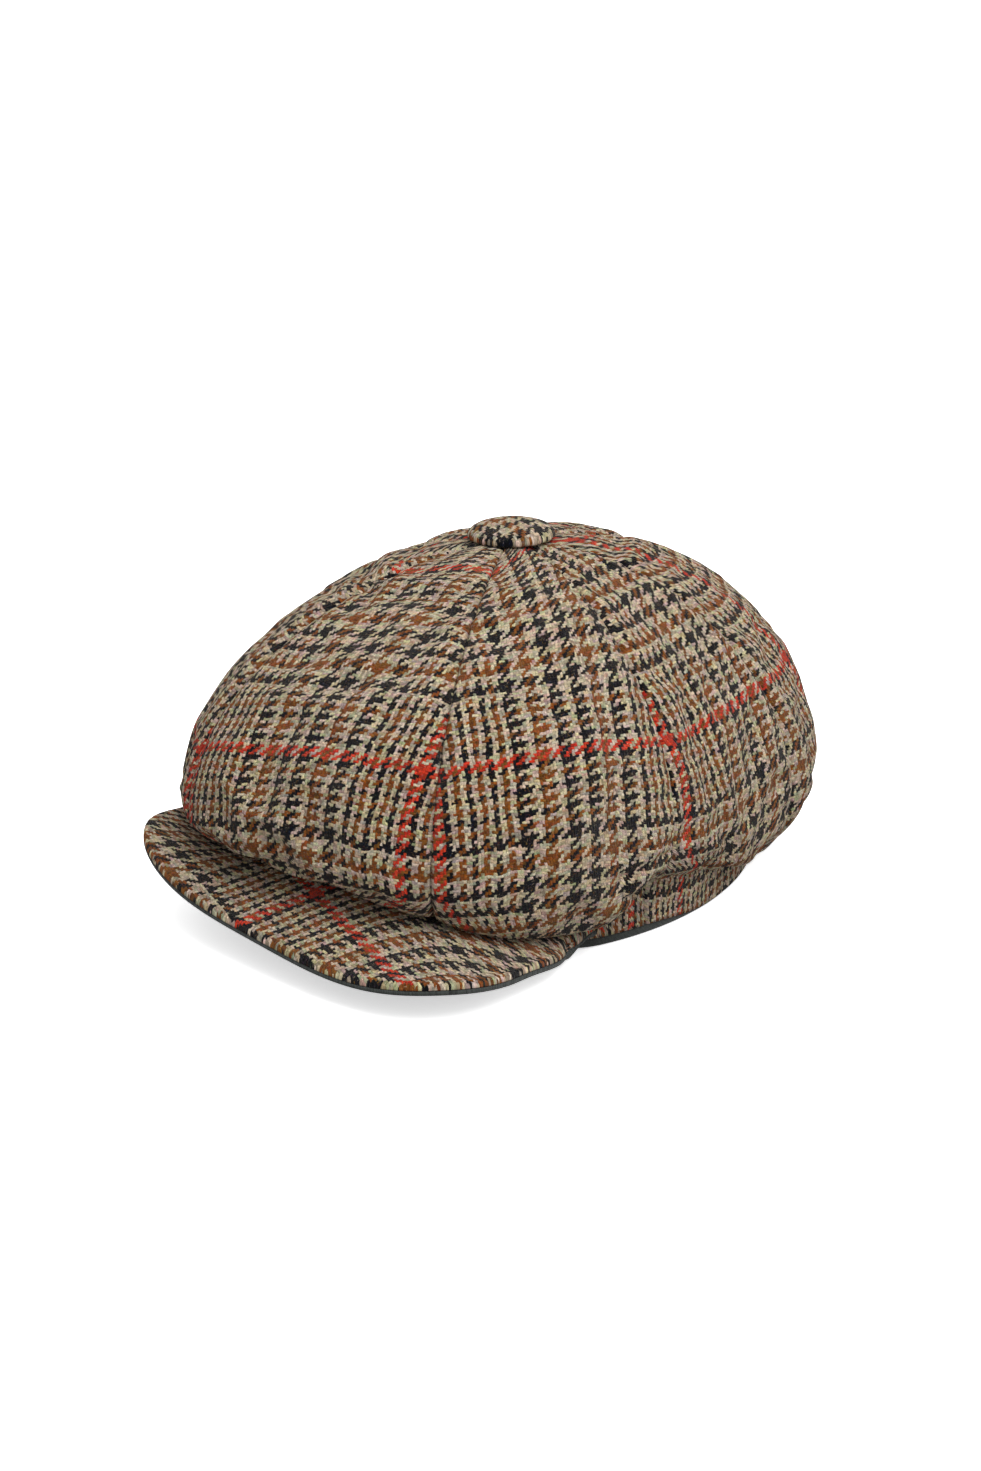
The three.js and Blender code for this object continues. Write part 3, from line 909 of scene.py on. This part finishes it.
def panel_threads(name, points, angle, rows):
    """Thread coordinates: across the panel from its middle, and down it from the red ring."""
    across = lengths_along(points, 1)
    middle = across[:, PANEL_COLUMNS // 2, None]
    gather = lerp(PANEL_EASE.get(name, 1), TUCK_GATHER, smooth((rows - 1.1) / 0.6))
    u = (across - middle) / THREAD * gather + REPEAT / 2 + PANEL_SHIFT.get(name, 0)
    v = (lengths_along(points, 0) - smooth_curve(RED_RING, from_front(angle)) * MM) / THREAD
    return np.stack([u, v * np.where(v < 0, UPPER_EASE, 1)], -1)


def seam_drop(points, rows):
    """How far the cloth turns in where it is sewn: a rolled edge in a shallow valley."""
    across = lengths_along(points, 1)
    width = across[:, -1:]
    to_seam = np.minimum(across, width - across)
    roll = np.minimum(SEAM_ROLL, width * 0.2)
    valley = SEAM_VALLEY * np.exp(-((to_seam / SEAM_VALLEY_WIDTH) ** 2)) * smooth(rows / 0.15)
    return roll * round_off(np.clip(1 - to_seam / roll, 0, 1)) + valley * smooth((3.0 - rows) / 0.5)


def make_crown_panel(index):
    name = PANELS[index]
    rows, columns = np.meshgrid(panel_rows(), panel_columns(), indexing="ij")
    angle = panel_angle(index, columns)
    points = crown_skin(angle, rows) + drape_on_panel(index)
    normal = skin_normal(angle, rows)
    creases = crease_depth(angle, points[..., 2]) * window(rows, 0.5, 0.3, 2.1, 0.3)
    points = points + normal * (slack(angle, rows) - creases)[..., None]
    points = rest_on_visor(points, rows)
    thread = panel_threads(name, points, angle, rows)
    outer = points - normal * seam_drop(points, rows)[..., None]
    inner = outer - normal * TWEED_THICKNESS
    panel = closed_sheet("tweed_panel_" + name, outer, inner, thread)
    dress(panel, TWEED, "tweed", "crown_panel_" + name)
    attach(panel, "cap")
    return panel


crown_panels = [make_crown_panel(index) for index in range(len(PANELS))]

# ---------- lining ----------

LINING_COLUMNS = 24
LINING_ROWS = 48
LINING_RIPPLE = 0.5 * MM
LINING_OVER_BAND = 1.5 * MM


def make_lining_panel(index):
    rows, columns = np.meshgrid(np.linspace(0.012, 2, LINING_ROWS + 1),
                                np.linspace(-0.995, 0.995, LINING_COLUMNS + 1), indexing="ij")
    angle = panel_angle(index, columns)
    top = opening_height(angle) + BAND_HEIGHT + LINING_OVER_BAND
    points = crown_point(angle, rows, LINING_INSET, top, BAND_THICKNESS)
    normal = grid_normals(points)
    ripple = np.sin(angle * 23 + rows * 4) * window(rows, 0.5, 0.5, 2, 0.3)
    points = points - normal * ((ripple + 1) * LINING_RIPPLE)[..., None]
    inner = points - normal * LINING_THICKNESS
    thread = np.stack([columns * 50, rows * 120], -1)
    name = PANELS[index]
    panel = closed_sheet("satin_panel_" + name, points, inner, thread)
    dress(panel, SATIN, "satin_lining", "lining_panel_" + name)
    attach(panel, "cap")
    return panel


lining_panels = [make_lining_panel(index) for index in range(len(PANELS))]

# ---------- sweatband ----------

BAND_SEGMENTS = 240
BAND_EDGE = 0.4 * MM
HEM_OUTSIDE = 5.2 * MM  # the band is turned out under the tweed
HEM_TOP = 3.7 * MM
HEM_LOW = 0.2 * MM
HEM_INNER_ROUND = 1.8 * MM
HEM_OUTER_ROUND = 1.4 * MM
HEM_BEVEL = 0.5 * MM
HEM_CORNER = 0.3 * MM


def quarter(outside, height, radius, start):
    """A quarter circle's (outside, height) points from a start in degrees."""
    for turn in np.radians(np.linspace(start, start + 90, 7)):
        yield outside + radius * math.cos(turn), height + radius * math.sin(turn)


def band_section():
    """(distance outside the head oval, height over the lower edge) round the band's section."""
    top = BAND_HEIGHT - BAND_EDGE
    points = [(0.0, height) for height in np.linspace(top, HEM_LOW + HEM_INNER_ROUND, 14)]
    points += list(quarter(HEM_INNER_ROUND, HEM_LOW + HEM_INNER_ROUND, HEM_INNER_ROUND, 180))[1:]
    points += quarter(HEM_OUTSIDE - HEM_OUTER_ROUND, HEM_LOW + HEM_OUTER_ROUND, HEM_OUTER_ROUND, 270)
    points += [(HEM_OUTSIDE, HEM_TOP - BAND_EDGE), (HEM_OUTSIDE - HEM_BEVEL, HEM_TOP)]
    points += [(BAND_THICKNESS + HEM_CORNER, HEM_TOP)]
    points += [(BAND_THICKNESS, height) for height in np.linspace(HEM_TOP + 2 * HEM_CORNER, top, 12)]
    points += [(BAND_THICKNESS / 2, BAND_HEIGHT)]
    return points


def make_sweatband():
    angle = np.linspace(0, 2 * np.pi, BAND_SEGMENTS, endpoint=False)
    rings, threads = [], []
    length = 0.0
    last = None
    for outside, height in band_section():
        x, y = band_outline(angle, outside)
        z = opening_height(angle) + height
        rings.append(np.stack([x, y, z], -1))
        if last is not None:
            length += math.dist(last, (outside, height))
        last = (outside, height)
        around = angle * (HEAD_HALF_WIDTH + HEAD_HALF_LENGTH) / 2
        threads.append(np.stack([around / THREAD, np.full_like(angle, length / THREAD)], -1))
    band = closed_ring("sweatband_cloth", np.array(rings), np.array(threads))
    dress(band, DARK_TWILL, "dark_cloth", "sweatband")
    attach(band, "cap")
    return band


sweatband = make_sweatband()

# ---------- button ----------

BUTTON_RINGS = 30
BUTTON_SEGMENTS = 96
BUTTON_ROUND = 1.6 * MM  # how far its side turns in underneath
BUTTON_PUCKERS = 14  # round its side, where the cloth is gathered
PUCKER_DEPTH = 0.012
BUTTON_TILT = 1.5  # degrees, down towards the wearer's right
BUTTON_SIDE = 1.2 * MM  # height of its side under the dome
BUTTON_GRAIN = 20  # degrees
BUTTON_SHIFT = 40  # where the button's middle falls in the check, in threads


def button_profile(radius, base, height):
    """(distance from the middle, height) from the button's top down its side and in underneath."""
    profile = []
    for share in np.linspace(0.03, 1, BUTTON_RINGS):
        a = share * np.pi / 2
        profile.append((radius * math.sin(a) ** 0.9, base + height * math.cos(a) ** 0.8))
    for share in np.linspace(0, 1, 6)[1:]:
        a = share * np.pi / 2
        profile.append((radius - BUTTON_ROUND * (1 - math.cos(a)), base - BUTTON_SIDE * math.sin(a)))
    profile.append((radius * 0.5, base - BUTTON_SIDE))
    return profile


def make_button():
    radius = (button_high.x - button_low.x) / 2
    centre = (button_low + button_high) / 2
    base = button_low.z
    height = button_high.z - button_low.z
    turn = np.linspace(0, 2 * np.pi, BUTTON_SEGMENTS, endpoint=False)
    rings, threads = [], []
    grain = math.radians(BUTTON_GRAIN)
    for ring, (reach, z) in enumerate(button_profile(radius, base, height)):
        pucker = 1 + PUCKER_DEPTH * np.sin(BUTTON_PUCKERS * turn) * smooth((ring - BUTTON_RINGS * 0.7) / 8)
        x, y = reach * pucker * np.cos(turn), reach * pucker * np.sin(turn)
        rings.append(np.stack([x, y, np.full_like(x, z)], -1))
        threads.append(np.stack([x * math.cos(grain) - y * math.sin(grain),
                                 x * math.sin(grain) + y * math.cos(grain)], -1) / THREAD
                       + BUTTON_SHIFT)
    points = np.array(rings)
    count = len(rings) * BUTTON_SEGMENTS
    index = np.arange(count).reshape(len(rings), BUTTON_SEGMENTS)
    over = np.roll(index, -1, axis=1)
    faces = np.stack([index[:-1], index[1:], over[1:], over[:-1]], -1).reshape(-1, 4).tolist()
    top_fan = [[count, int(a), int(b)] for a, b in zip(index[0], over[0])]
    low_fan = [[count + 1, int(b), int(a)] for a, b in zip(index[-1], over[-1])]
    vertices = np.concatenate([points.reshape(-1, 3), [[0, 0, base + height], [0, 0, base - BUTTON_SIDE]]])
    thread = np.concatenate([np.array(threads).reshape(-1, 2), [[BUTTON_SHIFT] * 2] * 2])
    tilt = math.radians(BUTTON_TILT)
    x, z = vertices[:, 0].copy(), vertices[:, 2] - base
    vertices[:, 0] = x * math.cos(tilt) - z * math.sin(tilt) + centre.x
    vertices[:, 2] = x * math.sin(tilt) + z * math.cos(tilt) + base
    vertices[:, 1] += centre.y
    button = new_object("button_tweed", vertices, faces + top_fan + low_fan, thread)
    dress(button, TWEED, "tweed", "button_cover")
    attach(button, "button")
    return button


button = make_button()

# ---------- CAD nodes that keep their shape ----------


def paint_node(node, material):
    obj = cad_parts[node]
    obj.data.materials.clear()
    obj.data.materials.append(material)


for node in ("button_shell", "button_back_plate", "button_shank"):
    paint_node(node, TIN)
paint_node("band_interfacing", BOARD)
paint_node("size_label", LABEL)

# ---------- meshes of their own, transforms baked ---

# Each crown and lining panel gets a mesh of its own.
for piece in crown_panels + lining_panels:
    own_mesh(piece)

# The visor's layers have their transforms baked into their meshes.
for piece in (visor_tweed, visor_board, visor_under):
    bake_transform(piece)

# ---------- stage ----------

FLOOR_SIZE = 60.0
FLOOR_SEEN = 1.4  # how pale the floor looks
FLOOR_GLOW = 0.55  # and how much its shadows are lightened
FLOOR_BOUNCE = 0.42  # and how much light it throws back on the cap
SKY_LOW = 0.12  # brightness near the horizon
SKY_HIGH = 1.0  # and overhead
SKY_STRENGTH = 1.15
LIGHT_TARGET = (0, 0, 50 * MM)
# (name, place, size, power)
LIGHTS = [("key", (1.2, -0.5, 1.9), 1.4, 30), ("fill", (1.6, -0.2, 0.8), 1.0, 5)]
CAMERA_AZIMUTH = 36  # degrees, towards the wearer's left
CAMERA_ELEVATION = 20
CAMERA_DISTANCE = 1.0
CAMERA_AIM = Vector((-17 * MM, 15 * MM, 44 * MM))
CAMERA_LENS = 61.8


def make_floor():
    half = FLOOR_SIZE / 2
    corners = np.array([[-half, -half, 0], [half, -half, 0], [half, half, 0], [-half, half, 0]], float)
    floor = new_object("floor", corners, [[0, 1, 2, 3]])
    n = Nodes("floor")
    seen = n.add("ShaderNodeLightPath").outputs["Is Camera Ray"]
    n.set(Base_Color=n.mix(seen, (FLOOR_BOUNCE,) * 3, (FLOOR_SEEN,) * 3), Roughness=0.9,
          Emission_Color=(1, 1, 1), Emission_Strength=n.math("MULTIPLY", seen, FLOOR_GLOW))
    floor.data.materials.append(n.material)


def make_light(name, place, size, power):
    light = bpy.data.lights.new(name, "AREA")
    light.shape = "DISK"
    light.size = size
    light.energy = power
    obj = bpy.data.objects.new(name, light)
    obj.location = place
    obj.rotation_euler = (Vector(LIGHT_TARGET) - Vector(place)).to_track_quat("-Z", "Y").to_euler()
    bpy.context.scene.collection.objects.link(obj)


def make_camera():
    azimuth, elevation = math.radians(CAMERA_AZIMUTH), math.radians(CAMERA_ELEVATION)
    back = Vector((math.sin(azimuth) * math.cos(elevation), -math.cos(azimuth) * math.cos(elevation),
                   math.sin(elevation)))
    camera = bpy.data.cameras.new("camera")
    camera.lens = CAMERA_LENS
    obj = bpy.data.objects.new("camera", camera)
    obj.location = CAMERA_AIM + back * CAMERA_DISTANCE
    obj.rotation_euler = (-back).to_track_quat("-Z", "Y").to_euler()
    bpy.context.scene.collection.objects.link(obj)
    bpy.context.scene.camera = obj


def make_world():
    """A studio that is bright overhead and dim near the horizon, and looks white behind the floor."""
    world = bpy.data.worlds.new("studio")
    world.use_nodes = True
    tree = world.node_tree
    place = tree.nodes.new("ShaderNodeTexCoord")
    parts = tree.nodes.new("ShaderNodeSeparateXYZ")
    ramp = tree.nodes.new("ShaderNodeValToRGB")
    ramp.color_ramp.elements[0].color = (*[SKY_LOW] * 3, 1)
    ramp.color_ramp.elements[1].color = (*[SKY_HIGH] * 3, 1)
    tree.links.new(place.outputs["Generated"], parts.inputs[0])
    tree.links.new(parts.outputs["Z"], ramp.inputs[0])
    background = tree.nodes["Background"]
    seen = tree.nodes.new("ShaderNodeMix")
    seen.data_type = "RGBA"
    seen.inputs[7].default_value = (1, 1, 1, 1)
    tree.links.new(tree.nodes.new("ShaderNodeLightPath").outputs["Is Camera Ray"], seen.inputs["Factor"])
    tree.links.new(ramp.outputs[0], seen.inputs[6])
    tree.links.new(seen.outputs[2], background.inputs["Color"])
    background.inputs["Strength"].default_value = SKY_STRENGTH
    bpy.context.scene.world = world


make_floor()
make_world()
for light in LIGHTS:
    make_light(*light)
make_camera()
bpy.context.scene.view_settings.view_transform = "Standard"
bpy.context.view_layer.update()
